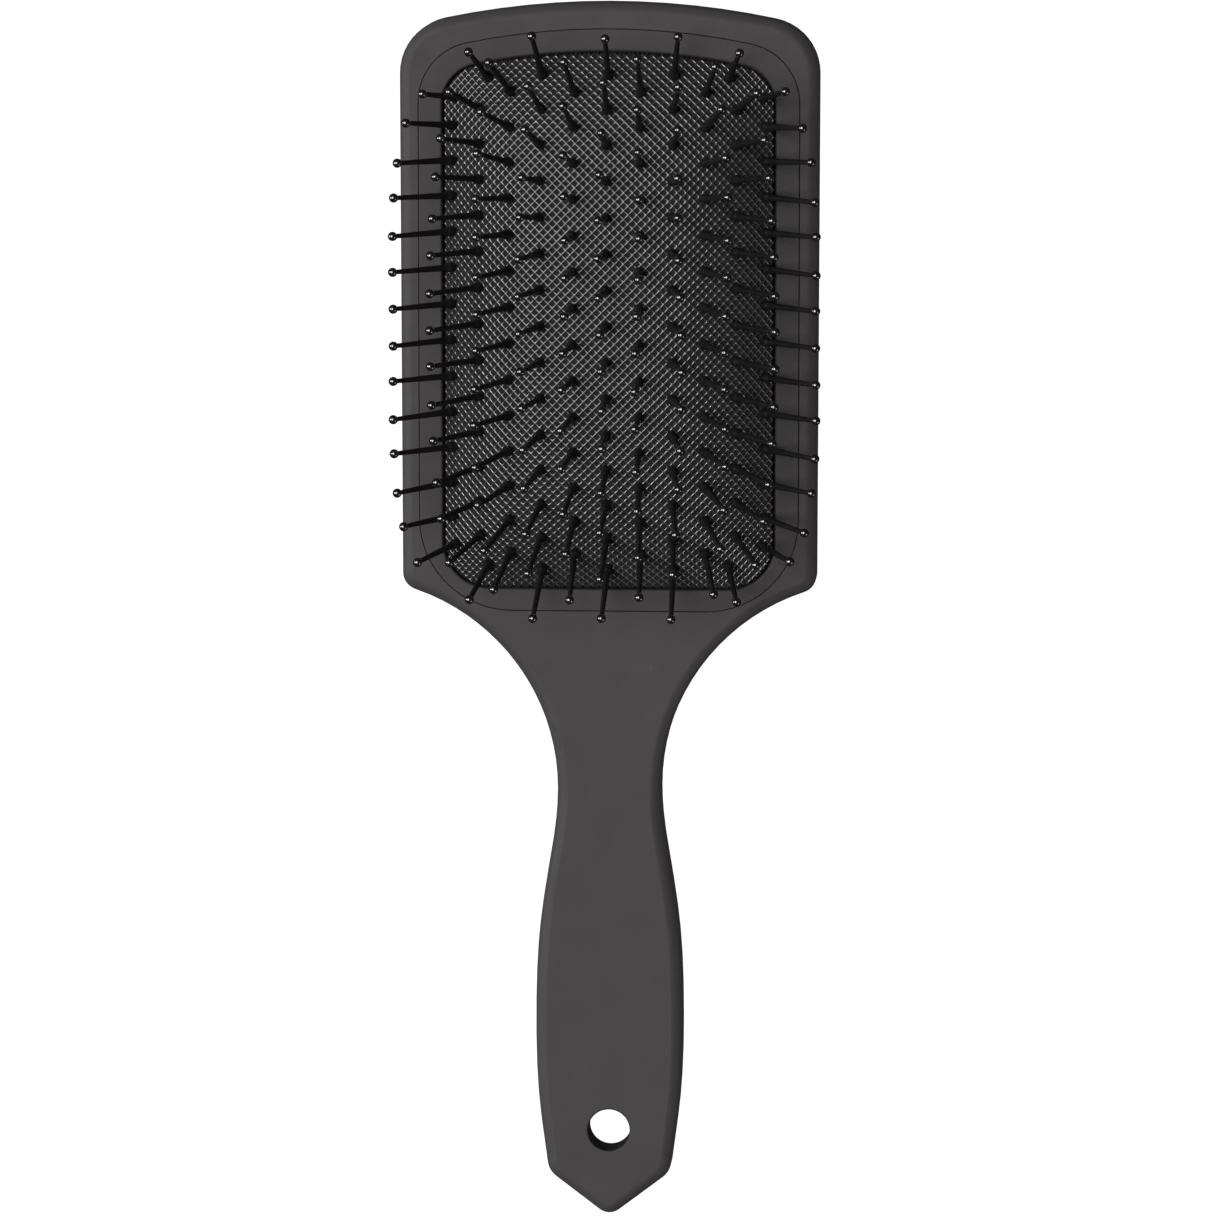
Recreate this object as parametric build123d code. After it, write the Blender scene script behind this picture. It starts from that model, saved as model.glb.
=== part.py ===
from build123d import *
import math
import os

# A paddle hair brush: a flat moulded paddle and handle, a domed rubber cushion clamped in the head by
# a flush frame, and ball-tipped pins that stand in the rubber.
#
# Millimetres. The brush lies on its flat back: +Z is up through the pins, +Y points to the head end
# and X runs across. The origin is at the middle of the overall length and width, on the back.

# --- paddle ---------------------------------------------------------------------------------------
LENGTH = 245.0
THICKNESS = 11.0
FRONT_ROUNDING = 2.2
BACK_ROUNDING = 3.0
HEAD_HALF_WIDTH = 41.8
HEAD_HALF_WIDTH_AT_SHOULDER = 41.5
HEAD_ARCH_RADIUS = 162.0
HEAD_CORNER_RADIUS = 11.0
SHOULDER_CORNER_RADIUS = 3.5
SHOULDER_RADIUS = 42.3
NECK_HALF_WIDTH = 10.4
NECK_Y = -35.3
HANDLE_SIDE = [(12.25, -51.4), (14.1, -64.5), (14.8, -80.0), (14.1, -100.0), (12.3, -113.4)]
HANDLE_END_ROUNDING = 4.2
TIP_FLANK_ANGLE = 37.3
TIP_ROUNDING = 3.2

HANG_HOLE_RADIUS = 4.2
HANG_HOLE_Y = -105.1
HANG_HOLE_FRONT_ROUNDING = 0.4
HANG_HOLE_BACK_ROUNDING = 4.0

# --- recess in the head -----------------------------------------------------------------------------
PAD_CENTRE_Y = 59.1
POCKET_HALF_WIDTH = 38.0
POCKET_HALF_LENGTH = 58.3
POCKET_ARCH_RADIUS = 140.0
POCKET_HEAD_END_CORNER = 12.2
POCKET_HANDLE_END_CORNER = 18.5
POCKET_RIM_CHAMFER = 0.1
LEDGE_Z = 8.0
CHAMBER_FLOOR_Z = 2.5
CHAMBER_RELIEF = 0.5

# --- cushion frame ----------------------------------------------------------------------------------
OPENING_HALF_WIDTH = 33.2
OPENING_HALF_LENGTH = 53.8
OPENING_ARCH_RADIUS = 135.0
OPENING_HEAD_END_CORNER = 8.3
OPENING_HANDLE_END_CORNER = 9.5
FRAME_THICKNESS = 2.0
FRAME_SIDE_GAP = 0.1
FRAME_INNER_ROUNDING = 0.5
FRAME_OUTER_ROUNDING = 0.15
PEG_RADIUS = 0.9
PEG_DEPTH = 3.2
PEG_GAP = 0.03
PEG_LINE_INSET = 2.4
SIDE_PEG_OFFSETS = (-39.0, -13.0, 13.0, 39.0)
END_PEG_OFFSETS = (-13.0, 13.0)

# --- rubber cushion ---------------------------------------------------------------------------------
RUBBER = 1.3
FLANGE_THICKNESS = 1.0
FLANGE_EDGE_GAP = 0.5
FLANGE_HOLE_GAP = 0.2
RISER_GAP = 0.4
DOME_BASE_Z = 10.4
DOME_RISE = 10.8
ACROSS_POWER = 2.98
ALONG_POWER = 3.65
SKIN_GRID = 2.0
SKIN_OVERLAP = 1.0

# --- pins -------------------------------------------------------------------------------------------
OUTERMOST_COLUMN = 5
LAST_ROW = 14
COLUMN_PITCH = 6.6
COLUMN_CURL = 0.0025
ROW_PITCH = 3.62
ROW_CURL = 0.00016
CORNER_PULL_EVEN = (1.4, 0.5)
CORNER_PULL_ODD = (0.5, 1.2)
MIDDLE_ROWS = 7
STRAY_LEAN = 0.025

PIN_LENGTH = 18.0
BALL_RADIUS = 0.92
SHAFT_TIP_RADIUS = 0.46
SHAFT_FOOT_RADIUS = 0.66
COLLAR_RADIUS = 1.0
COLLAR_HEIGHT = 1.5
COLLAR_SLOPE_HEIGHT = 0.7
COLLAR_GAP = 0.08
NECK_RADIUS = 0.7
NECK_HOLE_GAP = 0.05
HEAD_RADIUS = 1.4
HEAD_THICKNESS = 0.8
HEAD_GAP = 0.15


def tangent_drop(radius, distance):
    """How far an arc falls away from the tangent at its crown."""
    return radius - math.sqrt(radius**2 - distance**2)


def paddle_outline():
    """The paddle seen from the front: arched head, hollow shoulders, waisted handle, blunt point."""
    flank = math.radians(TIP_FLANK_ANGLE)
    point_y = -LENGTH / 2 - TIP_ROUNDING * (1 / math.cos(flank) - 1)
    shoulder_x = NECK_HALF_WIDTH + SHOULDER_RADIUS
    corner_rise = math.sqrt(SHOULDER_RADIUS**2 - (shoulder_x - HEAD_HALF_WIDTH_AT_SHOULDER) ** 2)
    crown = (0, LENGTH / 2)
    head_corner = (HEAD_HALF_WIDTH, LENGTH / 2 - tangent_drop(HEAD_ARCH_RADIUS, HEAD_HALF_WIDTH))
    shoulder = (HEAD_HALF_WIDTH_AT_SHOULDER, NECK_Y + corner_rise)
    slant = math.sqrt(0.5) * SHOULDER_RADIUS
    shoulder_middle = (shoulder_x - slant, NECK_Y + slant)
    neck = (NECK_HALF_WIDTH, NECK_Y)
    handle_end = (HANDLE_SIDE[-1][0], point_y + HANDLE_SIDE[-1][0] * math.tan(flank))
    side = [neck, *HANDLE_SIDE[:-1], handle_end]
    half = [
        RadiusArc(crown, head_corner, HEAD_ARCH_RADIUS),
        Line(head_corner, shoulder),
        ThreePointArc(shoulder, shoulder_middle, neck),
        Spline(*side, tangents=[(0, -1), (-0.12, -1)]),
        Line(handle_end, (0, point_y)),
    ]
    edges = [*half, *[mirror(edge, about=Plane.YZ) for edge in half]]
    outline = make_face(Curve() + edges)
    roundings = {
        head_corner: HEAD_CORNER_RADIUS,
        shoulder: SHOULDER_CORNER_RADIUS,
        handle_end: HANDLE_END_ROUNDING,
        (0, point_y): TIP_ROUNDING,
    }
    for (x, y), radius in roundings.items():
        corners = [v for v in outline.vertices() if math.hypot(abs(v.X) - x, v.Y - y) < 0.01]
        outline = fillet(corners, radius)
    return outline


def arched_panel(half_width, half_length, arch_radius, corners, inset):
    """A rounded rectangle on the pad's centre with an arched head end, drawn inset all round.
    Its corners are the two radii at the handle end and at the head end."""
    crown_y = half_length - inset
    arch = Pos(0, crown_y - (arch_radius - inset)) * Circle(arch_radius - inset)
    panel = Rectangle(2 * (half_width - inset), 2 * crown_y) & arch
    for end, radius in zip((0, -1), corners):
        panel = fillet(panel.vertices().group_by(Axis.Y)[end], radius - inset)
    return Pos(0, PAD_CENTRE_Y) * panel


def opening(inset=0.0):
    """The window in the cushion frame."""
    corners = (OPENING_HANDLE_END_CORNER, OPENING_HEAD_END_CORNER)
    return arched_panel(
        OPENING_HALF_WIDTH, OPENING_HALF_LENGTH, OPENING_ARCH_RADIUS, corners, inset
    )


def pocket(inset=0.0):
    """The shallow pocket in the head that the cushion frame fills."""
    corners = (POCKET_HANDLE_END_CORNER, POCKET_HEAD_END_CORNER)
    return arched_panel(
        POCKET_HALF_WIDTH, POCKET_HALF_LENGTH, POCKET_ARCH_RADIUS, corners, inset
    )


def slab(face, low, high):
    """A flat outline stood up between two heights."""
    return extrude(Pos(0, 0, low) * face, high - low)


def peg_places():
    """The pegs' centres, on a line between the window and the frame's outer edge."""
    side_x = POCKET_HALF_WIDTH - PEG_LINE_INSET
    end_y = POCKET_HALF_LENGTH - PEG_LINE_INSET
    arch_drop = tangent_drop(POCKET_ARCH_RADIUS, END_PEG_OFFSETS[-1])
    sides = [(sign * side_x, y) for sign in (-1, 1) for y in SIDE_PEG_OFFSETS]
    ends = [(x, y) for x in END_PEG_OFFSETS for y in (-end_y, end_y - arch_drop)]
    return [(x, PAD_CENTRE_Y + y) for x, y in sides + ends]


def peg_cylinders(radius, low, high):
    """One upright cylinder at each peg."""
    return [slab(Pos(x, y) * Circle(radius), low, high) for x, y in peg_places()]


def hang_hole_rims(body):
    """The circles at the two ends of the hang hole's straight wall."""
    return [
        edge
        for edge in body.edges().filter_by(GeomType.CIRCLE)
        if abs(edge.radius - HANG_HOLE_RADIUS) < 0.01 and abs(edge.arc_center.Y - HANG_HOLE_Y) < 0.01
    ]


def paddle_body():
    """Head and handle in one moulding, with the pad's recess and the hang hole."""
    body = slab(paddle_outline(), 0, THICKNESS)
    for end, radius in ((-1, FRONT_ROUNDING), (0, BACK_ROUNDING)):
        flat = body.faces().filter_by(Plane.XY).sort_by(Axis.Z)[end]
        body = fillet(flat.edges(), radius)
    body -= slab(Pos(0, HANG_HOLE_Y) * Circle(HANG_HOLE_RADIUS), 0, THICKNESS)
    for end, radius in ((min, HANG_HOLE_BACK_ROUNDING), (max, HANG_HOLE_FRONT_ROUNDING)):
        body = fillet(end(hang_hole_rims(body), key=lambda edge: edge.arc_center.Z), radius)
    body -= slab(pocket(), LEDGE_Z, THICKNESS)
    front = body.faces().filter_by(Plane.XY).sort_by(Axis.Z)[-1]
    pocket_rim = max(front.inner_wires(), key=lambda wire: wire.length)
    body = chamfer(pocket_rim.edges(), POCKET_RIM_CHAMFER)
    body -= slab(opening(RISER_GAP + RUBBER - CHAMBER_RELIEF), CHAMBER_FLOOR_Z, LEDGE_Z)
    peg_foot = THICKNESS - FRAME_THICKNESS - PEG_DEPTH - PEG_GAP
    return body - peg_cylinders(PEG_RADIUS + PEG_GAP, peg_foot, LEDGE_Z)


def cushion_frame():
    """The flush ring that clamps the rubber, with the pegs that hold it in the head."""
    low = THICKNESS - FRAME_THICKNESS
    ring = slab(pocket(FRAME_SIDE_GAP), low, THICKNESS) - slab(opening(), low, THICKNESS)
    top = ring.faces().sort_by(Axis.Z)[-1]
    ring = fillet(top.outer_wire().edges(), FRAME_OUTER_ROUNDING)
    top = ring.faces().sort_by(Axis.Z)[-1]
    ring = fillet(top.inner_wires()[0].edges(), FRAME_INNER_ROUNDING)
    return ring + peg_cylinders(PEG_RADIUS, low - PEG_DEPTH, low)


def dome_rise(x, y):
    """The rubber's height over the dome's base, with x and y from the pad's centre."""
    arch_drop = x**2 / (2 * OPENING_ARCH_RADIUS) if y > 0 else 0
    across = 1 - (abs(x) / OPENING_HALF_WIDTH) ** ACROSS_POWER
    along = 1 - (abs(y) / (OPENING_HALF_LENGTH - arch_drop)) ** ALONG_POWER
    return DOME_RISE * across * along


def dome_slopes(x, y, step=0.01):
    """The rubber's slope across and along the pad."""
    across = (dome_rise(x + step, y) - dome_rise(x - step, y)) / (2 * step)
    along = (dome_rise(x, y + step) - dome_rise(x, y - step)) / (2 * step)
    return across, along


def dome_block(drop):
    """A solid under the dome's skin, lowered by drop, wider than the pad."""
    columns = round((OPENING_HALF_WIDTH + SKIN_OVERLAP) / SKIN_GRID)
    rows = round((OPENING_HALF_LENGTH + SKIN_OVERLAP) / SKIN_GRID)
    across = (OPENING_HALF_WIDTH + SKIN_OVERLAP) / columns
    along = (OPENING_HALF_LENGTH + SKIN_OVERLAP) / rows
    points = [
        [
            (i * across, PAD_CENTRE_Y + j * along, DOME_BASE_Z - drop + dome_rise(i * across, j * along))
            for i in range(-columns, columns + 1)
        ]
        for j in range(-rows, rows + 1)
    ]
    skin = Face.make_surface_from_array_of_points(points, tol=0.005, min_deg=3, max_deg=3)
    return Solid.extrude(skin, Vector(0, 0, -2 * DOME_RISE))


def cushion_membrane():
    """The hollow rubber dome with its clamped flange, pierced for the pins and the frame's pegs."""
    top = DOME_BASE_Z + DOME_RISE + 1
    outside = slab(opening(RISER_GAP), LEDGE_Z, top) & dome_block(0)
    inside = slab(opening(RISER_GAP + RUBBER), LEDGE_Z, top) & dome_block(RUBBER)
    flange = slab(pocket(FLANGE_EDGE_GAP), LEDGE_Z, LEDGE_Z + FLANGE_THICKNESS)
    pin_holes = [
        pin_plane(column, row).location
        * Cylinder(NECK_RADIUS + NECK_HOLE_GAP, 4 * RUBBER)
        for column, row in pin_grid()
    ]
    peg_holes = peg_cylinders(PEG_RADIUS + FLANGE_HOLE_GAP, LEDGE_Z, LEDGE_Z + FLANGE_THICKNESS)
    return outside + flange - inside - peg_holes - pin_holes


def pin_grid():
    """Every pin as (column, row): staggered, so that even columns hold even rows."""
    return [
        (column, row)
        for column in range(-OUTERMOST_COLUMN, OUTERMOST_COLUMN + 1)
        for row in range(-LAST_ROW, LAST_ROW + 1)
        if (column - row) % 2 == 0
    ]


def pin_foot(column, row):
    """Where a pin leaves the rubber, from the pad's centre. The curl of the rubber closes the pitch."""
    x = COLUMN_PITCH * column * (1 - COLUMN_CURL * column**2)
    y = ROW_PITCH * row * (1 - ROW_CURL * row**2)
    even = column % 2 == 0
    last_column = OUTERMOST_COLUMN - 1 if even else OUTERMOST_COLUMN
    last_row = LAST_ROW if even else LAST_ROW - 1
    if abs(column) == last_column and abs(row) == last_row:
        pull_x, pull_y = CORNER_PULL_EVEN if even else CORNER_PULL_ODD
        x -= math.copysign(pull_x, x)
        y -= math.copysign(pull_y, y)
    return x, y


def pin_plane(column, row):
    """A pin's own frame: origin where it leaves the rubber, Z along it, square to the rubber but
    for a little stray lean, as in any hand-filled brush."""
    x, y = pin_foot(column, row)
    across, along = dome_slopes(x, y)
    stray_x = STRAY_LEAN * math.sin(12.9 * column + 78.2 * row)
    stray_y = STRAY_LEAN * math.sin(39.3 * column + 11.1 * row)
    return Plane(
        origin=(x, PAD_CENTRE_Y + y, DOME_BASE_Z + dome_rise(x, y)),
        z_dir=(stray_x - across, stray_y - along, 1),
    )


def pin():
    """One moulded pin: head behind the rubber, neck through it, collar, tapered shaft, ball tip."""
    head_top = -RUBBER - HEAD_GAP
    head_bottom = head_top - HEAD_THICKNESS
    slope_top = COLLAR_HEIGHT + COLLAR_SLOPE_HEIGHT
    ball_z = PIN_LENGTH - BALL_RADIUS
    ball_foot_z = ball_z - math.sqrt(BALL_RADIUS**2 - SHAFT_TIP_RADIUS**2)
    profile = Polyline(
        (0, PIN_LENGTH),
        (0, head_bottom),
        (HEAD_RADIUS, head_bottom),
        (HEAD_RADIUS, head_top),
        (NECK_RADIUS, head_top),
        (NECK_RADIUS, COLLAR_GAP),
        (COLLAR_RADIUS, COLLAR_GAP),
        (COLLAR_RADIUS, COLLAR_HEIGHT),
        (SHAFT_FOOT_RADIUS, slope_top),
        (SHAFT_TIP_RADIUS, ball_foot_z),
    )
    ball = ThreePointArc((SHAFT_TIP_RADIUS, ball_foot_z), (BALL_RADIUS, ball_z), (0, PIN_LENGTH))
    half_section = Plane.XZ * make_face(profile + ball)
    return revolve(half_section, Axis.Z)


def section_of(row):
    """The part of a column that a row belongs to."""
    if abs(row) <= MIDDLE_ROWS:
        return "middle"
    return "head_end" if row > 0 else "handle_end"


def pin_groups():
    """The pins of each node: every column in three lengths, counted from the left."""
    groups = {}
    for column, row in pin_grid():
        number = column + OUTERMOST_COLUMN + 1
        groups.setdefault(f"pins_column_{number:02d}_{section_of(row)}", []).append((column, row))
    return groups


def pin_node(places):
    """A group of separate, identical pins."""
    one = pin()
    return Compound(children=[pin_plane(*place).location * one for place in places])


def main():
    os.makedirs("parts", exist_ok=True)
    export_step(paddle_body(), "parts/paddle_body.step")
    export_step(cushion_frame(), "parts/cushion_frame.step")
    export_step(cushion_membrane(), "parts/cushion_membrane.step")
    for name, places in pin_groups().items():
        export_step(pin_node(places), f"parts/{name}.step")


if __name__ == "__main__":
    main()
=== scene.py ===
import math

import bmesh
import bpy
import numpy as np
from mathutils import Matrix, Vector


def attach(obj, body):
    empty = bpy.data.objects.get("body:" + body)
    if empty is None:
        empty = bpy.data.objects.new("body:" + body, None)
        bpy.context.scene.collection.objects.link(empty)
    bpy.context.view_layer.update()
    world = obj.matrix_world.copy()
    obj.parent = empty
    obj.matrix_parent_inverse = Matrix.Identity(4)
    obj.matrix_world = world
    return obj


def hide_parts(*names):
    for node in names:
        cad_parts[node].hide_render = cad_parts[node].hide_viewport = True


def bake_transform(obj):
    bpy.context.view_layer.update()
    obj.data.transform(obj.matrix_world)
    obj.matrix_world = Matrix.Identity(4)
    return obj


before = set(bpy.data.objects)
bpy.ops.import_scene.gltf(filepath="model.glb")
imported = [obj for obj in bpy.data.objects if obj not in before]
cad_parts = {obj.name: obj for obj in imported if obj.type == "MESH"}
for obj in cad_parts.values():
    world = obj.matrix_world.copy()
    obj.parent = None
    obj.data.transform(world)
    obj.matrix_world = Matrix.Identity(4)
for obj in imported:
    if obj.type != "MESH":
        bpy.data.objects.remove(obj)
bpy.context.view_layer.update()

# The looks of a paddle hair brush, in metres, in the CAD's own frame: +Z up through the pins, +Y to
# the head end. The rubber cushion is a new mesh with its crosshatch of ridges. The paddle, the frame
# and the pins are the CAD nodes with procedural materials.

MM = 0.001

HANG_HOLE_Y = -105.1 * MM
HANG_HOLE_WALL_ENDS = (4.3 * MM, 4.6 * MM)    # radii between which the painted shade on the hang hole's wall fades out

# --- rubber cushion, the shape of its CAD solid -----------------------------------------------------
PAD_CENTRE_Y = 59.1 * MM
OPENING_HALF_WIDTH = 33.2 * MM
OPENING_HALF_LENGTH = 53.8 * MM
OPENING_ARCH_RADIUS = 135.0 * MM
OPENING_HEAD_END_CORNER = 8.3 * MM
OPENING_HANDLE_END_CORNER = 9.5 * MM
EDGE_GAP = 0.42 * MM
DOME_BASE_Z = 10.4 * MM
DOME_RISE = 10.8 * MM
ACROSS_POWER = 2.98
ALONG_POWER = 3.65
FLANGE_Z = 8.96 * MM
FLANGE_REACH = 1.2 * MM
SIDES_FROM_X = 20.0 * MM
ENDS_FROM_Y = 40.0 * MM
LIP_DROP = 0.35 * MM

# --- crosshatch of ridges at 45 degrees, measured along the rubber ------------------------------------
RIDGE_PITCH = 1.25 * MM
RIDGE_TOP = 0.13 * MM
RIDGE_WALL = 0.12 * MM
RIDGE_HEIGHT = 0.28 * MM
OUTLINE_STEP = 0.8 * MM
WELD_DIGITS = 7    # places closer than a ten-thousandth of a millimetre are one

# --- pins, as the CAD places them --------------------------------------------------------------------
OUTERMOST_COLUMN = 5
LAST_ROW = 14
MIDDLE_ROWS = 7
COLUMN_PITCH = 6.6 * MM
COLUMN_CURL = 0.0025
ROW_PITCH = 3.62 * MM
ROW_CURL = 0.00016
CORNER_PULL_EVEN = (1.4 * MM, 0.5 * MM)
CORNER_PULL_ODD = (0.5 * MM, 1.2 * MM)
STRAY_LEAN = 0.025
PIN_LENGTH = 18.0 * MM
BALL_RADIUS = 0.92 * MM
CAP_THICKNESS = 0.015 * MM
CAP_SPAN = math.radians(140)
CAP_RINGS = 12
CAP_SEGMENTS = 24

# --- stage -------------------------------------------------------------------------------------------
CAMERA_DISTANCE = 1.5
CAMERA_LEAN_RIGHT = math.radians(3.6)
CAMERA_LEAN_HEAD = math.radians(7.8)
CAMERA_TARGET = Vector((-0.09 * MM, 0.34 * MM, 5.5 * MM))
CAMERA_LENS = 220.14
FLOOR_HALF_SIZE = 6.0
FLOOR_GAP = 0.02 * MM
WORLD_STRENGTH = 0.03


def dome_rise(x, y):
    """Height of the dome over its edge, at a place measured from the pad's centre."""
    arch_drop = np.where(y > 0, x**2 / (2 * OPENING_ARCH_RADIUS), 0)
    across = 1 - np.minimum(np.abs(x) / OPENING_HALF_WIDTH, 1) ** ACROSS_POWER
    along = 1 - np.minimum(np.abs(y) / (OPENING_HALF_LENGTH - arch_drop), 1) ** ALONG_POWER
    return DOME_RISE * across * along


def arc_length_table(half, height_at):
    """Distances along the rubber from the pad's middle, for places up to half."""
    places = np.linspace(0, half, 2001)
    heights = height_at(places)
    steps = np.hypot(np.diff(places), np.diff(heights))
    return places, np.concatenate([[0], np.cumsum(steps)])


ACROSS_TABLE = arc_length_table(OPENING_HALF_WIDTH, lambda x: dome_rise(x, np.zeros_like(x)))
ALONG_TABLE = arc_length_table(OPENING_HALF_LENGTH, lambda y: dome_rise(np.zeros_like(y), y))


def unrolled(place, table):
    return np.sign(place) * np.interp(np.abs(place), table[0], table[1])


def rolled(length, table):
    return np.sign(length) * np.interp(np.abs(length), table[1], table[0])


def ridge_height(x, y):
    """1 on the top of a ridge and 0 in a pit."""
    s = unrolled(x, ACROSS_TABLE)
    t = unrolled(y, ALONG_TABLE)
    heights = []
    for line in ((s + t) / math.sqrt(2), (s - t) / math.sqrt(2)):
        off_ridge = np.abs((line / RIDGE_PITCH + 0.5) % 1 - 0.5) * RIDGE_PITCH
        heights.append(np.clip(1 - (off_ridge - RIDGE_TOP / 2) / RIDGE_WALL, 0, 1))
    return np.maximum(*heights)


def dome_slopes(x, y):
    nudge = 0.01 * MM
    slope_x = (dome_rise(x + nudge, y) - dome_rise(x - nudge, y)) / (2 * nudge)
    slope_y = (dome_rise(x, y + nudge) - dome_rise(x, y - nudge)) / (2 * nudge)
    return slope_x, slope_y


def skin_points(x, y):
    """Points of the ridged skin over places x, y from the pad's centre, and how high each is."""
    slope_x, slope_y = dome_slopes(x, y)
    normal = np.stack([-slope_x, -slope_y, np.ones_like(x)], 1)
    normal /= np.linalg.norm(normal, axis=1)[:, None]
    ridge = ridge_height(x, y)
    flat = np.stack([x, y + PAD_CENTRE_Y, DOME_BASE_Z + dome_rise(x, y)], 1)
    return flat - normal * ((1 - ridge) * RIDGE_HEIGHT)[:, None], ridge


def arc_points(centre, radius, start, end):
    count = max(2, math.ceil(radius * abs(end - start) / OUTLINE_STEP))
    angles = [start + (end - start) * k / count for k in range(count + 1)]
    return [(centre[0] + radius * math.cos(a), centre[1] + radius * math.sin(a)) for a in angles]


def pad_outline(inset):
    """The cushion's edge, anticlockwise, round the pad's centre. It is convex."""
    half_width = OPENING_HALF_WIDTH - inset
    half_length = OPENING_HALF_LENGTH - inset
    low = OPENING_HANDLE_END_CORNER - inset
    high = OPENING_HEAD_END_CORNER - inset
    arch = OPENING_ARCH_RADIUS - inset
    arch_y = half_length - arch
    high_x = half_width - high
    high_y = arch_y + math.sqrt((arch - high) ** 2 - high_x**2)
    turn = math.atan2(high_y - arch_y, high_x)
    right = arc_points((half_width - low, low - half_length), low, -math.pi / 2, 0)
    right += arc_points((high_x, high_y), high, 0, turn)
    right += arc_points((0, arch_y), arch, turn, math.pi / 2)
    left = [(-x, y) for x, y in reversed(right)]
    points = right + left[1:]
    points = {(round(x, WELD_DIGITS), round(y, WELD_DIGITS)) for x, y in points}
    return sorted(points, key=lambda p: math.atan2(p[1], p[0]))


def clipped(polygon, outline):
    """The part of a convex polygon that lies inside a convex outline."""
    for (ax, ay), (bx, by) in zip(outline, outline[1:] + outline[:1]):
        side = [(bx - ax) * (y - ay) - (by - ay) * (x - ax) for x, y in polygon]
        if min(side) >= 0:
            continue
        kept = []
        for k, (x, y) in enumerate(polygon):
            last, here = side[k - 1], side[k]
            if (last < 0) != (here < 0):
                share = last / (last - here)
                px, py = polygon[k - 1]
                kept.append((px + (x - px) * share, py + (y - py) * share))
            if here >= 0:
                kept.append((x, y))
        polygon = kept
        if len(polygon) < 3:
            return []
    return polygon


def lattice_lines(reach):
    """Where the ridges' tops and walls begin and end, along one diagonal."""
    half = math.ceil(reach / RIDGE_PITCH)
    in_cell = [-RIDGE_TOP / 2, RIDGE_TOP / 2, RIDGE_TOP / 2 + RIDGE_WALL]
    in_cell.append(RIDGE_PITCH - RIDGE_TOP / 2 - RIDGE_WALL)
    return np.array([k * RIDGE_PITCH + step for k in range(-half, half) for step in in_cell])


def cushion_skin():
    """Corner places and faces of the crosshatched skin, cut to the pad's edge."""
    reach = (ACROSS_TABLE[1][-1] + ALONG_TABLE[1][-1]) / math.sqrt(2)
    lines = lattice_lines(reach)
    u, v = np.meshgrid(lines, lines, indexing="ij")
    s = (u + v) / math.sqrt(2)
    t = (u - v) / math.sqrt(2)
    on_pad = (np.abs(s) < ACROSS_TABLE[1][-1]) & (np.abs(t) < ALONG_TABLE[1][-1])
    x = rolled(s, ACROSS_TABLE)
    y = rolled(t, ALONG_TABLE)
    outline = pad_outline(EDGE_GAP)
    edge = np.array(outline)
    way = np.roll(edge, -1, 0) - edge
    inside = np.ones(x.shape, bool)
    for (ax, ay), (dx, dy) in zip(edge, way):
        inside &= dx * (y - ay) - dy * (x - ax) >= 0
    inside &= on_pad
    corners = {}
    places = []

    def corner(px, py):
        key = (round(px, WELD_DIGITS), round(py, WELD_DIGITS))
        if key not in corners:
            corners[key] = len(places)
            places.append((px, py))
        return corners[key]

    faces = []
    near = inside[:-1, :-1] | inside[1:, :-1] | inside[1:, 1:] | inside[:-1, 1:]
    whole = inside[:-1, :-1] & inside[1:, :-1] & inside[1:, 1:] & inside[:-1, 1:]
    for i, j in zip(*np.nonzero(near)):
        cell = [(i, j), (i, j + 1), (i + 1, j + 1), (i + 1, j)]
        polygon = [(float(x[c]), float(y[c])) for c in cell]
        if not whole[i, j]:
            polygon = clipped(polygon, outline)
        face = [corner(*p) for p in polygon]
        face = [c for k, c in enumerate(face) if c != face[k - 1]]
        if len(face) >= 3:
            faces.append(face)
    return np.array(places), faces


def add_lip(mesh_edit):
    """Carries the skin's edge down to the flange that the frame clamps."""
    rim = [e for e in mesh_edit.edges if e.is_boundary]
    for drop_to, reach in ((None, 0), (FLANGE_Z, 0), (FLANGE_Z, FLANGE_REACH)):
        made = bmesh.ops.extrude_edge_only(mesh_edit, edges=rim)["geom"]
        rim = [g for g in made if isinstance(g, bmesh.types.BMEdge) and g.is_boundary]
        for v in {v for e in rim for v in e.verts}:
            outward = Vector((v.co.x, v.co.y - PAD_CENTRE_Y, 0))
            v.co.z = v.co.z - LIP_DROP if drop_to is None else drop_to
            if reach:
                v.co.x += math.copysign(reach, outward.x) * (abs(outward.x) > SIDES_FROM_X)
                v.co.y += math.copysign(reach, outward.y) * (abs(outward.y) > ENDS_FROM_Y)


def make_cushion():
    places, faces = cushion_skin()
    points, ridge = skin_points(places[:, 0], places[:, 1])
    mesh = bpy.data.meshes.new("rubber_cushion")
    mesh.from_pydata([tuple(p) for p in points], [], faces)
    height = mesh.attributes.new("ridge", "FLOAT", "POINT")
    height.data.foreach_set("value", ridge.astype(np.float32))
    edit = bmesh.new()
    edit.from_mesh(mesh)
    add_lip(edit)
    bmesh.ops.recalc_face_normals(edit, faces=edit.faces)
    if sum(f.normal.z * f.calc_area() for f in edit.faces) < 0:
        bmesh.ops.reverse_faces(edit, faces=edit.faces)
    edit.to_mesh(mesh)
    edit.free()
    mesh.shade_smooth()
    cushion = bpy.data.objects.new("rubber_cushion", mesh)
    bpy.context.scene.collection.objects.link(cushion)
    return cushion


def pin_foot(column, row):
    """Where a pin leaves the rubber, from the pad's centre."""
    x = COLUMN_PITCH * column * (1 - COLUMN_CURL * column**2)
    y = ROW_PITCH * row * (1 - ROW_CURL * row**2)
    even = column % 2 == 0
    last_column = OUTERMOST_COLUMN - 1 if even else OUTERMOST_COLUMN
    last_row = LAST_ROW if even else LAST_ROW - 1
    if abs(column) == last_column and abs(row) == last_row:
        pull_x, pull_y = CORNER_PULL_EVEN if even else CORNER_PULL_ODD
        x -= math.copysign(pull_x, x)
        y -= math.copysign(pull_y, y)
    return x, y


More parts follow.
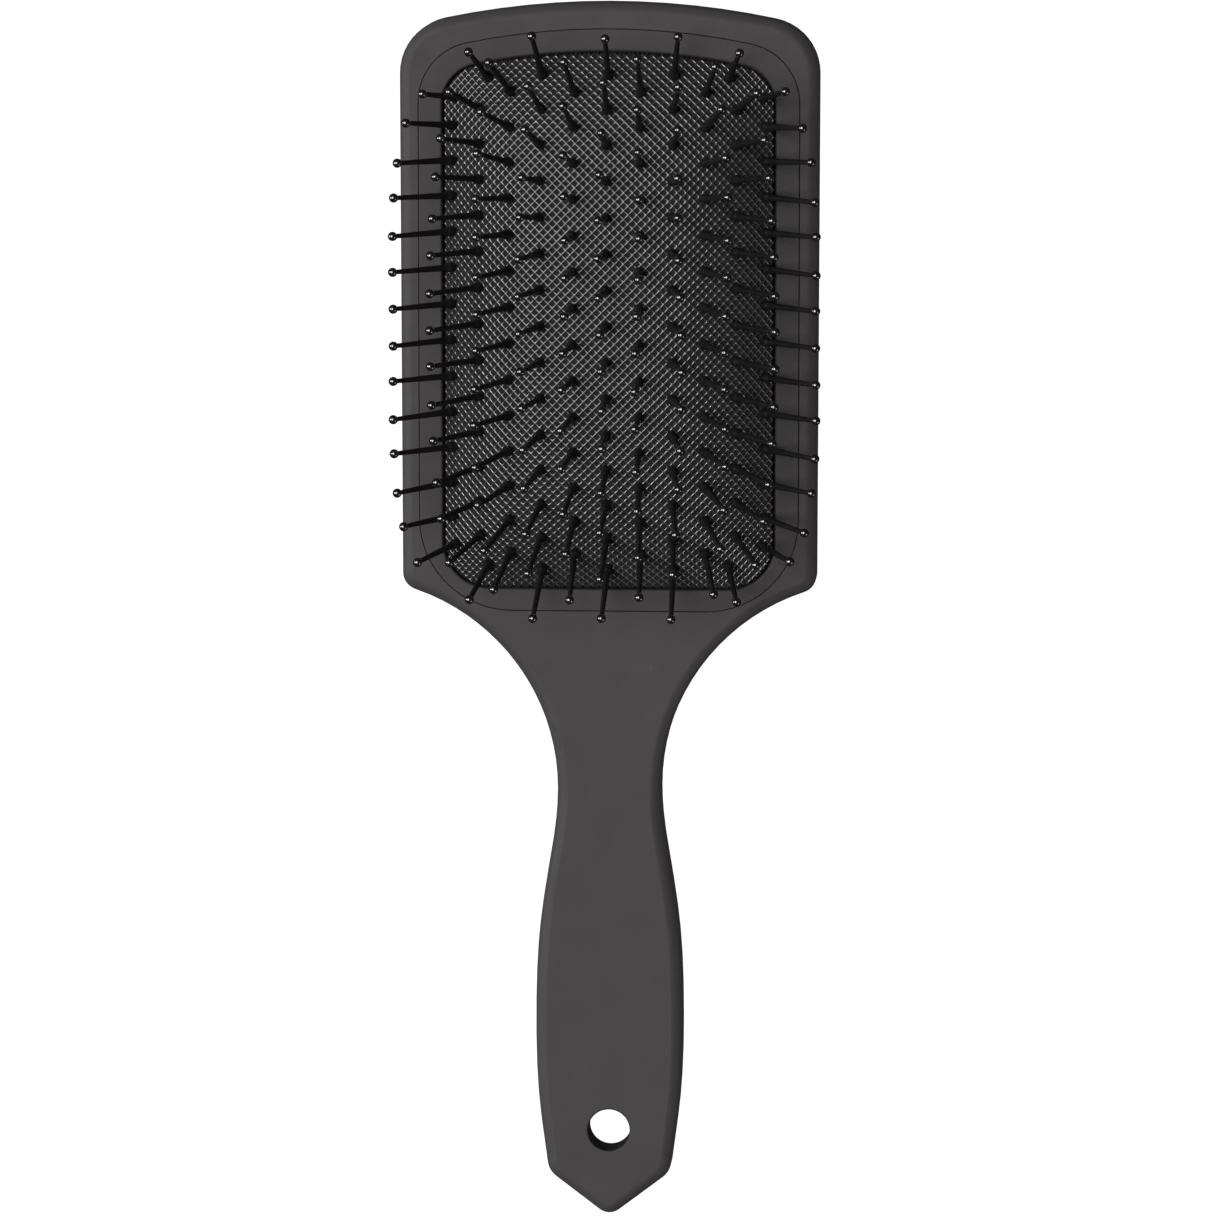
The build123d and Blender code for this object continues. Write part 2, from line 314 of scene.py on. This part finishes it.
def ball_centre(column, row):
    """The middle of a pin's ball tip, and the way the pin points."""
    x, y = pin_foot(column, row)
    across, along = dome_slopes(x, y)
    stray_x = STRAY_LEAN * math.sin(12.9 * column + 78.2 * row)
    stray_y = STRAY_LEAN * math.sin(39.3 * column + 11.1 * row)
    way = Vector((stray_x - across, stray_y - along, 1)).normalized()
    foot = Vector((x, PAD_CENTRE_Y + y, DOME_BASE_Z + dome_rise(x, y)))
    return foot + way * (PIN_LENGTH - BALL_RADIUS), way


def sections():
    """The pins of each body, as (column, row): every column in three lengths, from the left."""
    groups = {}
    for column in range(-OUTERMOST_COLUMN, OUTERMOST_COLUMN + 1):
        for row in range(-LAST_ROW, LAST_ROW + 1):
            if (column - row) % 2 == 0:
                end = "head_end" if row > 0 else "handle_end"
                place = "middle" if abs(row) <= MIDDLE_ROWS else end
                name = f"column_{column + OUTERMOST_COLUMN + 1:02d}_{place}"
                groups.setdefault(name, []).append((column, row))
    return groups


def add_cap(mesh_edit, centre, way):
    """A thin glossy skin over a ball tip, whose lower edge tucks in under the ball's own face."""
    turn = way.to_track_quat("Z", "Y")
    rings = []
    for k in range(1, CAP_RINGS + 1):
        angle = CAP_SPAN * k / CAP_RINGS
        lift = CAP_THICKNESS if k < CAP_RINGS else -CAP_THICKNESS
        radius = BALL_RADIUS + lift
        ring = []
        for j in range(CAP_SEGMENTS):
            around = 2 * math.pi * j / CAP_SEGMENTS
            flat = radius * math.sin(angle)
            spot = Vector((flat * math.cos(around), flat * math.sin(around), radius * math.cos(angle)))
            ring.append(mesh_edit.verts.new(centre + turn @ spot))
        rings.append(ring)
    pole = mesh_edit.verts.new(centre + way * (BALL_RADIUS + CAP_THICKNESS))
    for j in range(CAP_SEGMENTS):
        after = (j + 1) % CAP_SEGMENTS
        mesh_edit.faces.new((pole, rings[0][j], rings[0][after]))
        for upper, lower in zip(rings, rings[1:]):
            mesh_edit.faces.new((upper[j], lower[j], lower[after], upper[after]))


def make_ball_caps(body, places):
    """The dipped, glossy ball tips of one body's pins."""
    edit = bmesh.new()
    for column, row in places:
        add_cap(edit, *ball_centre(column, row))
    mesh = bpy.data.meshes.new("ball_tips_" + body)
    edit.to_mesh(mesh)
    edit.free()
    mesh.shade_smooth()
    caps = bpy.data.objects.new("ball_tips_" + body, mesh)
    bpy.context.scene.collection.objects.link(caps)
    return caps


# --- materials --------------------------------------------------------------------------------------
class Shader:
    """A material's node tree, with short ways to add to it."""

    def __init__(self, name):
        self.material = bpy.data.materials.new(name)
        self.material.use_nodes = True
        self.tree = self.material.node_tree
        self.surface = self.tree.nodes["Principled BSDF"]
        self.place = self.node("ShaderNodeTexCoord").outputs["Object"]

    def node(self, kind, **settings):
        node = self.tree.nodes.new(kind)
        for key, value in settings.items():
            if hasattr(node, key):
                setattr(node, key, value)
            else:
                self.feed(node.inputs[key.replace("_", " ").title()], value)
        return node

    def feed(self, socket, value):
        if isinstance(value, bpy.types.NodeSocket):
            self.tree.links.new(value, socket)
        else:
            socket.default_value = value

    def noise(self, scale, detail=3.0, roughness=0.5):
        node = self.node("ShaderNodeTexNoise")
        self.feed(node.inputs["Vector"], self.place)
        for name, value in (("Scale", scale), ("Detail", detail), ("Roughness", roughness)):
            self.feed(node.inputs[name], value)
        return node.outputs["Fac"]

    def ranged(self, value, low, high, to_low, to_high):
        node = self.node("ShaderNodeMapRange")
        for k, v in enumerate((value, low, high, to_low, to_high)):
            self.feed(node.inputs[k], v)
        return node.outputs[0]

    def math(self, operation, a, b=0.0):
        node = self.node("ShaderNodeMath", operation=operation)
        self.feed(node.inputs[0], a)
        self.feed(node.inputs[1], b)
        return node.outputs[0]

    def mixed(self, share, a, b):
        node = self.node("ShaderNodeMix", data_type="RGBA")
        self.feed(node.inputs[0], share)
        self.feed(node.inputs[6], a)
        self.feed(node.inputs[7], b)
        return node.outputs[2]

    def bump(self, height, strength, distance, normal=None):
        node = self.node("ShaderNodeBump")
        self.feed(node.inputs["Height"], height)
        self.feed(node.inputs["Strength"], strength)
        self.feed(node.inputs["Distance"], distance)
        if normal is not None:
            self.feed(node.inputs["Normal"], normal)
        return node.outputs["Normal"]

    def specks(self, scale, size):
        """1 at the middle of a few small spots, such as dust."""
        node = self.node("ShaderNodeTexVoronoi")
        self.feed(node.inputs["Vector"], self.place)
        self.feed(node.inputs["Scale"], scale)
        near = self.ranged(node.outputs["Distance"], 0.0, size, 1.0, 0.0)
        chosen = self.math("GREATER_THAN", node.outputs["Color"], 0.72)
        return self.math("MULTIPLY", near, chosen)

    def edges(self, radius):
        """Near 1 on rounded edges and 0 on flat faces."""
        bevel = self.node("ShaderNodeBevel", samples=4)
        self.feed(bevel.inputs["Radius"], radius)
        flat = self.node("ShaderNodeNewGeometry").outputs["Normal"]
        dot = self.node("ShaderNodeVectorMath", operation="DOT_PRODUCT")
        self.feed(dot.inputs[0], bevel.outputs["Normal"])
        self.feed(dot.inputs[1], flat)
        return self.ranged(dot.outputs["Value"], 0.99, 0.80, 0.0, 1.0)

    def hang_hole_painted_shade(self):
        """1 on the hang hole's wall, where shade is painted in, and 0 elsewhere."""
        off_axis = self.node("ShaderNodeVectorMath", operation="MULTIPLY_ADD")
        self.feed(off_axis.inputs[0], self.place)
        self.feed(off_axis.inputs[1], (1, 1, 0))
        self.feed(off_axis.inputs[2], (0, -HANG_HOLE_Y, 0))
        distance = self.node("ShaderNodeVectorMath", operation="LENGTH")
        self.feed(distance.inputs[0], off_axis.outputs["Vector"])
        return self.ranged(distance.outputs["Value"], *HANG_HOLE_WALL_ENDS, 1.0, 0.0)

    def set(self, **inputs):
        names = {"base": "Base Color", "rough": "Roughness", "normal": "Normal", "ior": "IOR"}
        names.update(specular="Specular IOR Level", coat="Coat Weight", coat_rough="Coat Roughness",
                     coat_ior="Coat IOR")
        for key, value in inputs.items():
            self.feed(self.surface.inputs[names[key]], value)
        return self.material


def grey(level, red=0.04, blue=0.0):
    """A grey that leans a little to red or blue."""
    return (level * (1 + red), level, level * (1 + blue), 1.0)


def lacquer(level):
    return grey(level, 0.12, 0.04)


def soft_touch(name, level, rough, grain):
    """Charcoal soft-touch lacquer: fine matte grain, a little cloudy, faintly rubbed on the edges."""
    m = Shader(name)
    cloud = m.noise(38.0, 4.0)
    grain_noise = m.noise(3400.0, 2.0, 0.6)
    base = m.mixed(m.ranged(cloud, 0.3, 0.7, 0.0, 1.0), lacquer(level * 0.95), lacquer(level * 1.05))
    base = m.mixed(m.ranged(grain_noise, 0.35, 0.65, 0.0, 0.35), base, lacquer(level * 1.16))
    worn = m.math("MULTIPLY", m.edges(0.9 * MM), m.ranged(m.noise(420.0, 5.0), 0.45, 0.7, 0.0, 0.35))
    base = m.mixed(worn, base, lacquer(level * 1.7))
    base = m.mixed(m.math("MULTIPLY", m.specks(210.0, 0.05), 0.5), base, grey(level * 3.2))
    # Painted shade: the hang hole's wall is darkened to near black.
    base = m.mixed(m.hang_hole_painted_shade(), base, grey(0.018))
    roughness = m.ranged(m.noise(150.0, 5.0), 0.3, 0.7, rough - 0.05, rough + 0.05)
    roughness = m.math("SUBTRACT", roughness, m.math("MULTIPLY", worn, 0.2))
    wave = m.bump(m.noise(95.0, 2.0), 0.25, 0.05 * MM)
    normal = m.bump(grain_noise, grain, 0.03 * MM, wave)
    return m.set(base=base, rough=roughness, normal=normal, ior=1.45, specular=0.35)


def ridged_rubber():
    """Dark grey rubber: dull and black in the pits, with painted shade on the ridges' walls, rubbed
    glossy on the ridges, whose tops are lighter from rubbed wear and painted highlight.
    """
    m = Shader("cushion_rubber_looks")
    ridge = m.node("ShaderNodeAttribute", attribute_name="ridge").outputs["Fac"]
    cloud = m.ranged(m.noise(60.0, 4.0), 0.3, 0.7, 0.0, 1.0)
    # Painted shade: the ridges' walls are darkest. The ridge tops are lighter, partly from rubbed wear
    # and partly as painted highlight.
    pit = m.mixed(cloud, grey(0.006), grey(0.010))
    top = m.mixed(cloud, grey(0.050), grey(0.070))
    base = m.mixed(m.ranged(ridge, 0.05, 0.30, 0.0, 1.0), pit, grey(0.003))
    base = m.mixed(m.ranged(ridge, 0.70, 0.95, 0.0, 1.0), base, top)
    base = m.mixed(m.math("MULTIPLY", m.specks(330.0, 0.09), 0.4), base, grey(0.2))
    rough = m.ranged(ridge, 0.5, 1.0, 0.92, 0.34)
    rough = m.math("ADD", rough, m.ranged(m.noise(900.0, 4.0), 0.3, 0.7, -0.06, 0.06))
    normal = m.bump(m.noise(5200.0, 3.0, 0.6), 0.35, 0.03 * MM)
    rubbed = m.ranged(ridge, 0.6, 0.95, 0.0, 1.0)
    return m.set(base=base, rough=rough, normal=normal, ior=1.5, specular=0.6, coat=rubbed,
                 coat_rough=0.25, coat_ior=2.5)


def matt_nylon():
    """Black moulded nylon, as on the pins' shafts: dull, with a slight ripple and fine scuffs."""
    m = Shader("pin_nylon_looks")
    cloud = m.ranged(m.noise(300.0, 3.0), 0.3, 0.7, 0.0, 1.0)
    base = m.mixed(cloud, grey(0.006), grey(0.011))
    rough = m.ranged(m.noise(1800.0, 4.0), 0.3, 0.75, 0.50, 0.62)
    normal = m.bump(m.noise(900.0, 2.0), 0.10, 0.05 * MM)
    return m.set(base=base, rough=rough, normal=normal, specular=0.2)


def glossy_tip():
    """The ball tips' dipped skin: black and shiny, a little scuffed by use."""
    m = Shader("ball_tip_looks")
    cloud = m.ranged(m.noise(500.0, 3.0), 0.3, 0.7, 0.0, 1.0)
    base = m.mixed(cloud, grey(0.003), grey(0.007))
    rough = m.ranged(m.noise(2200.0, 4.0), 0.3, 0.75, 0.16, 0.26)
    normal = m.bump(m.noise(1500.0, 2.0), 0.06, 0.02 * MM)
    return m.set(base=base, rough=rough, normal=normal, ior=1.9, coat=1.0, coat_rough=0.10)


def dress(node, material):
    """Gives a CAD node its finished material."""
    node_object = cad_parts[node]
    slots = node_object.material_slots
    if not slots:
        node_object.data.materials.append(material)
    for slot in slots:
        slot.material = material


# --- stage ------------------------------------------------------------------------------------------
def make_camera():
    """Looks down on the front from 1.5 m, a little from the right and from the head end."""
    flat = math.cos(CAMERA_LEAN_HEAD)
    back = Vector((math.sin(CAMERA_LEAN_RIGHT) * flat, math.sin(CAMERA_LEAN_HEAD),
                   math.cos(CAMERA_LEAN_RIGHT) * flat))
    right = Vector((0, 1, 0)).cross(back).normalized()
    up = back.cross(right)
    data = bpy.data.cameras.new("camera")
    data.sensor_width = 36
    data.lens = CAMERA_LENS
    data.clip_start, data.clip_end = 0.1, 20
    camera = bpy.data.objects.new("camera", data)
    bpy.context.scene.collection.objects.link(camera)
    turn = Matrix((right, up, back)).transposed().to_4x4()
    camera.matrix_world = Matrix.Translation(CAMERA_TARGET + back * CAMERA_DISTANCE) @ turn
    bpy.context.scene.camera = camera


def area_light(name, direction, distance, size, power):
    """A white disk, facing the part's origin."""
    data = bpy.data.lights.new(name, "AREA")
    data.shape = "DISK"
    data.size = size
    data.energy = power
    light = bpy.data.objects.new(name, data)
    bpy.context.scene.collection.objects.link(light)
    way = Vector(direction).normalized()
    light.location = way * distance
    light.rotation_mode = "QUATERNION"
    light.rotation_quaternion = way.to_track_quat("Z", "Y")
    return light


def make_floor():
    mesh = bpy.data.meshes.new("floor")
    half = FLOOR_HALF_SIZE
    mesh.from_pydata([(-half, -half, 0), (half, -half, 0), (half, half, 0), (-half, half, 0)], [],
                     [(0, 1, 2, 3)])
    floor = bpy.data.objects.new("floor", mesh)
    bpy.context.scene.collection.objects.link(floor)
    floor.location.z = -FLOOR_GAP
    m = Shader("floor_paper")
    base = m.mixed(m.ranged(m.noise(6.0, 3.0), 0.3, 0.7, 0.0, 1.0), grey(0.93, 0), grey(0.95, 0))
    mesh.materials.append(m.set(base=base, rough=0.9, specular=0.2))
    floor.visible_glossy = False
    return floor


def link_light(light, pieces, state):
    """The light falls on these pieces alone, or on everything but them."""
    group = bpy.data.collections.new(light.name + "_linked")
    for piece in pieces:
        group.objects.link(piece)
    for link in group.collection_objects:
        link.light_linking.link_state = state
    light.light_linking.receiver_collection = group
    if state == "INCLUDE":
        light.light_linking.blocker_collection = group


def make_stage(cushion):
    """A large soft light at the upper left, two weak ones at the sides, and an evenly lit white floor."""
    floor = make_floor()
    key = area_light("key", (-0.37, 0.17, 0.91), 5.0, 3.8, 242.0)
    edge = area_light("left_edge", (-0.92, 0.10, 0.38), 4.0, 1.2, 60.0)
    fill = area_light("fill", (0.75, -0.55, 0.40), 2.6, 0.9, 8.0)
    floor_light = area_light("floor_light", (0, 0, 1), 3.0, 3.0, 126.0)
    link_light(key, [floor], "EXCLUDE")
    link_light(edge, [floor, cushion], "EXCLUDE")
    link_light(fill, [floor], "EXCLUDE")
    link_light(floor_light, [floor], "INCLUDE")
    world = bpy.data.worlds.new("studio")
    world.use_nodes = True
    world.node_tree.nodes["Background"].inputs["Color"].default_value = (1, 1, 1, 1)
    world.node_tree.nodes["Background"].inputs["Strength"].default_value = WORLD_STRENGTH
    bpy.context.scene.world = world
    bpy.context.scene.view_settings.view_transform = "Standard"


def main():
    cushion = make_cushion()
    make_camera()
    make_stage(cushion)
    body_looks = soft_touch("soft_touch_body_looks", 0.0405, 0.60, 0.35)
    frame_looks = soft_touch("frame_plastic_looks", 0.0325, 0.56, 0.3)
    pin_looks = matt_nylon()
    tip_looks = glossy_tip()
    dress("paddle_body", body_looks)
    dress("cushion_frame", frame_looks)
    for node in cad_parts:
        if node.startswith("pins_"):
            dress(node, pin_looks)
    for body, places in sections().items():
        caps = make_ball_caps(body, places)
        caps.data.materials.append(tip_looks)
        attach(caps, body)
    cushion.data.materials.append(ridged_rubber())
    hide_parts("cushion_membrane")
    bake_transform(cushion)


main()
